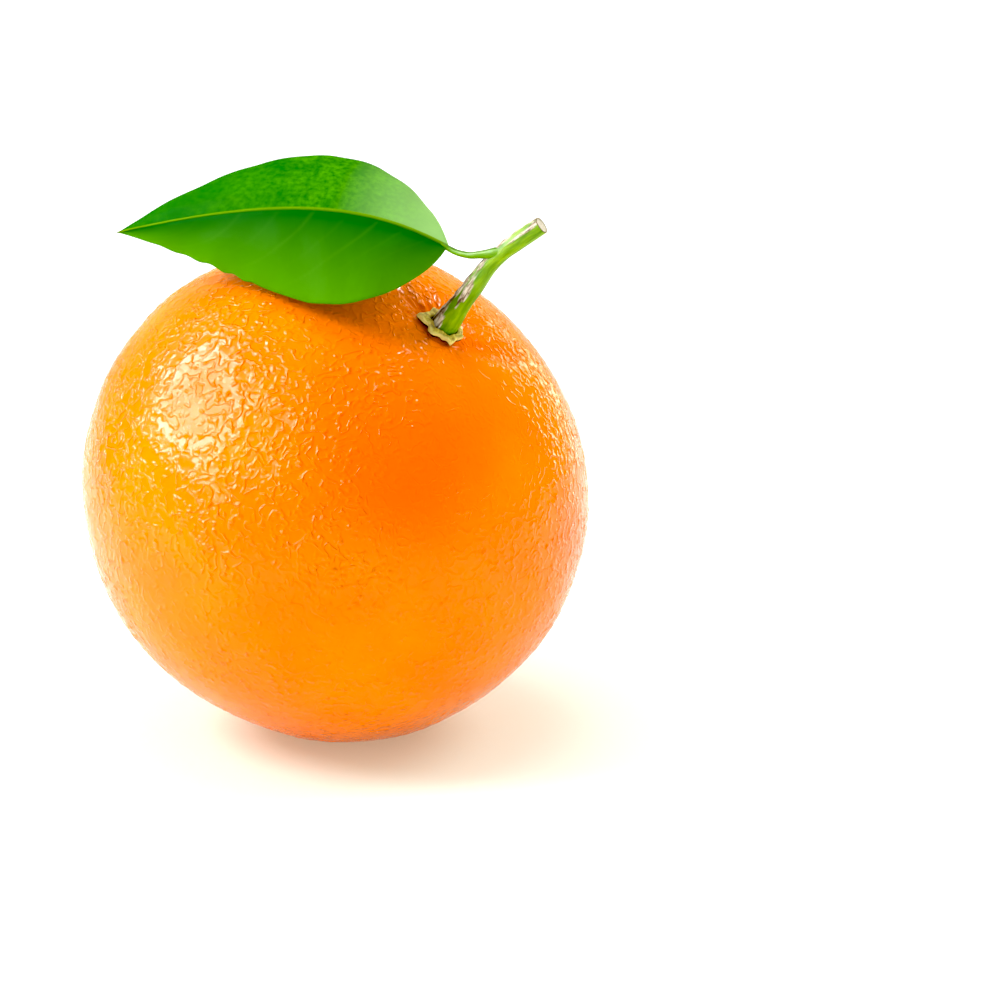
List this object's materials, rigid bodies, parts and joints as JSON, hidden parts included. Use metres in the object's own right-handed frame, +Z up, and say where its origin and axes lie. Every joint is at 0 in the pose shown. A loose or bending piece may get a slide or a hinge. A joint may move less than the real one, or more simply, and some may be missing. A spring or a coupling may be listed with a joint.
{
  "type": "sweet orange with twig and leaf",
  "caption": "Whole sweet orange lying tilted on a small flat, with its lobed calyx, a short cut twig and one glossy leaf on a slim stalk.",
  "frame": {"origin": "on the small flat the fruit rests on, straight below the fruit's centre", "axes": "+Z up; the stem end leans towards +X and -Y, the leaf reaches out towards -X, and the front of the view is -Y"},
  "size_m": [0.0788, 0.0792, 0.0914],
  "materials": {
    "peel": "satin",
    "calyx": "matte",
    "twig_bark": "satin",
    "leaf_stalk": "satin",
    "leaf": "satin"
  },
  "bodies": {
    "root": {"fruit": "peel", "calyx": "calyx", "twig": "twig_bark", "leaf_stalk": "leaf_stalk", "leaf_blade": "leaf"}
  },
  "joints": []
}
